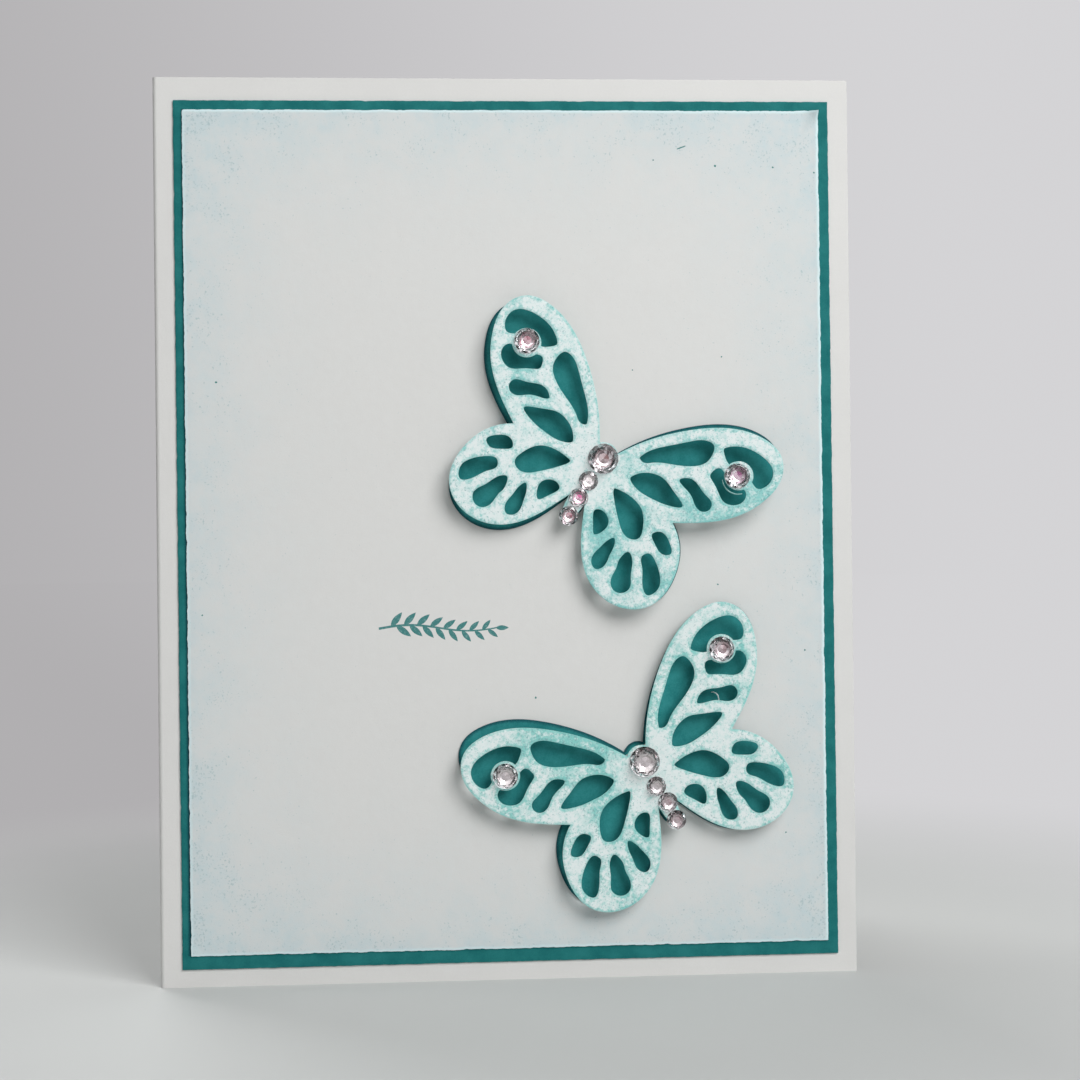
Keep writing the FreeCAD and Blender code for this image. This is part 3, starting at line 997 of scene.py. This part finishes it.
def glue_arc():
    """Glue squeezed out round the lower left of the upper butterfly's right wing stone."""
    graph = material_graph("dried_glue")
    cloud = graph.noise(graph.millimetres(), 1.5)
    base = graph.mix(cloud, *GLUE_TONES)
    material = graph.finish(Base_Color=base, Roughness=0.3)
    low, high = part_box("upper_gem_right_wing")
    centre = (low + high) / 2 + ARC_CENTRE
    centre.y = high.y + SHEET / 2
    route = []
    for k in range(ARC_STEPS + 1):
        angle = math.radians(ARC_START + ARC_TURN * k / ARC_STEPS)
        route.append(centre + Vector((math.cos(angle), 0, math.sin(angle))) * ARC_RADIUS)
    thread("glue_arc", route, ARC_THREAD, material)


def paper_fibre():
    """A curled white fibre caught in a cut-out of the lower butterfly's right wing."""
    graph = material_graph("paper_fibre")
    cloud = graph.noise(graph.millimetres(), 2.0)
    base = graph.mix(cloud, *FIBRE_TONES)
    material = graph.finish(Base_Color=base, Roughness=0.8)
    backing_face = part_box("lower_butterfly_backing")[0].y
    route = []
    for x, rise, z in FIBRE:
        route.append(Vector((x * MM, backing_face - rise * MM, z * MM)))
    thread("paper_fibre", route, FIBRE_THREAD, material)


# ------------------------------------------------------------------ stage

def area_light(name, way, power):
    """A square lamp in that direction from the card, turned towards it."""
    data = bpy.data.lights.new(name, "AREA")
    data.size = LAMP_SIZE
    data.energy = power
    light = placed(name, data)
    light.location = LAMP_AIM + way.normalized() * LAMP_DISTANCE
    light.rotation_euler = (LAMP_AIM - light.location).to_track_quat("-Z", "Y").to_euler()


def seen_directly(graph):
    """1 for what the camera, a mirror or glass sees, and 0 for light that falls on a surface."""
    total = graph.add("LightPath", {}, out="Is Camera Ray")
    for ray in ("Is Glossy Ray", "Is Transmission Ray"):
        total = graph.math("MAXIMUM", total, graph.add("LightPath", {}, out=ray))
    return total


def share_along(graph, way, axis, low, high):
    """A step from 0 to 1 as a direction's share along an axis goes from low to high."""
    share = graph.add("VectorMath", {0: way, 1: axis}, out=1, operation="DOT_PRODUCT")
    return graph.ramp(share, low, high)


def wall_colour(graph, way):
    """The wall's colour in a direction: a little darker at the left, as painted shade."""
    return graph.mix(share_along(graph, way, WALL_ACROSS, -WALL_REACH, WALL_REACH), WALL_LEFT, WALL_RIGHT)


def world():
    """A plain pale room. The camera sees its wall, stones mirror its dark and bright sides, and
    surfaces get an even light."""
    data = bpy.data.worlds.new("room")
    graph = Graph(data)
    way = graph.add("TexCoord", {}, out="Generated")
    bright = share_along(graph, way, WINDOW_FROM.normalized(), *MIRROR_REACH)
    mirrored = graph.mix(bright, ROOM_DARK_SIDE, ROOM_BRIGHT_SIDE)
    camera_ray = graph.add("LightPath", {}, out="Is Camera Ray")
    seen = graph.mix(camera_ray, mirrored, wall_colour(graph, way))
    light = graph.mix(seen_directly(graph), ROOM_LIGHT, seen)
    graph.end("World", graph.add("Background", {"Color": light}))
    bpy.context.scene.world = data


def floor_material():
    """A pale table that keeps the card's shadow and runs out into the wall's colour."""
    graph = material_graph("floor")
    place = graph.millimetres()
    base = graph.mix(graph.noise(place, 0.02), *TABLE_TONES)
    table = graph.add("BsdfPrincipled", {"Base Color": base, "Roughness": 0.9})
    way = graph.add("VectorMath", {0: place}, operation="NORMALIZE")
    wall = graph.add("Emission", {"Color": wall_colour(graph, way)})
    distance = graph.add("VectorMath", {0: place}, out=1, operation="LENGTH")
    far = graph.ramp(distance, TABLE_FADES, TABLE_ENDS)
    share = graph.math("MULTIPLY", far, seen_directly(graph))
    return graph.end("Material", graph.add("MixShader", {0: share, 1: table, 2: wall}))


def floor():
    mesh = bpy.data.meshes.new("floor")
    bm = bmesh.new()
    bmesh.ops.create_circle(bm, cap_ends=True, segments=FLOOR_SIDES, radius=FLOOR_RADIUS)
    bm.to_mesh(mesh)
    bm.free()
    mesh.materials.append(floor_material())
    placed("floor", mesh)


def camera():
    data = bpy.data.cameras.new("camera")
    data.lens = LENS
    data.sensor_width = SENSOR_WIDTH
    yaw = math.radians(CAMERA_YAW)
    pitch = math.radians(CAMERA_PITCH)
    roll = math.radians(CAMERA_ROLL)
    forward = Vector((math.sin(yaw) * math.cos(pitch), math.cos(yaw) * math.cos(pitch), math.sin(pitch)))
    level = Vector((math.cos(yaw), -math.sin(yaw), 0))
    upright = level.cross(forward)
    right = level * math.cos(roll) - upright * math.sin(roll)
    up = right.cross(forward)
    turn = Matrix((right, up, -forward)).transposed()
    place = Vector((CAMERA_X, FACE_Y - CAMERA_BACK, CAMERA_Z))
    thing = placed("camera", data)
    thing.matrix_world = Matrix.Translation(place) @ turn.to_4x4()
    bpy.context.scene.camera = thing


# ------------------------------------------------------------------ the card

def dress(node, material):
    """Gives a CAD node its finish."""
    nodes[node].data.materials.clear()
    nodes[node].data.materials.append(material)


def build_sheets():
    """The blank, the mat and the panel."""
    dress("card_base", white_card())
    teal = teal_card("teal_card_mat", MAT_TONES, panel_edge_painted_shadow)
    flat_sheet("teal_mat", "teal_card", [teal], MAT_RADII, MAT_WOBBLE, 3)
    card = [sponged_card(), stamped_ink()]
    prints = sprig() + specks()
    flat_sheet("sponged_panel", "sponged_card", card, PANEL_RADII, PANEL_WOBBLE, 11, CURL_LIFT, prints)


def build_butterflies():
    """Both butterflies, with their pads and stones."""
    teal = teal_card("teal_card_wings", BACKING_TONES, backing_rim_painted_shade)
    glass = stone_glass()
    foils = {name: foil_with_painted_reflections("foil_with_painted_reflections_" + name, heart) for name, (heart, _) in HEART_REFLECTIONS.items()}
    foam = white_foam()
    for butterfly in BUTTERFLIES:
        card = butterfly_card("butterfly_card_" + butterfly, TOP_INKS[butterfly])
        die_cut(butterfly + "_butterfly_backing", "teal_card", teal)
        top = die_cut(butterfly + "_butterfly_top", "butterfly_card", card)
        dab(top.data, DABS[butterfly])
        for place, heart in zip(STONES, STONE_HEART_REFLECTIONS[butterfly]):
            stone(butterfly, place, glass, foils[heart], HEART_REFLECTIONS[heart][1])
        for place in PADS:
            foam_pad(butterfly, place, foam)


bpy.context.scene.view_settings.view_transform = "Standard"
build_sheets()
build_butterflies()
glue_arc()
paper_fibre()
floor()
world()
area_light("window", WINDOW_FROM, WINDOW_POWER)
area_light("behind", BEHIND_FROM, BEHIND_POWER)
camera()
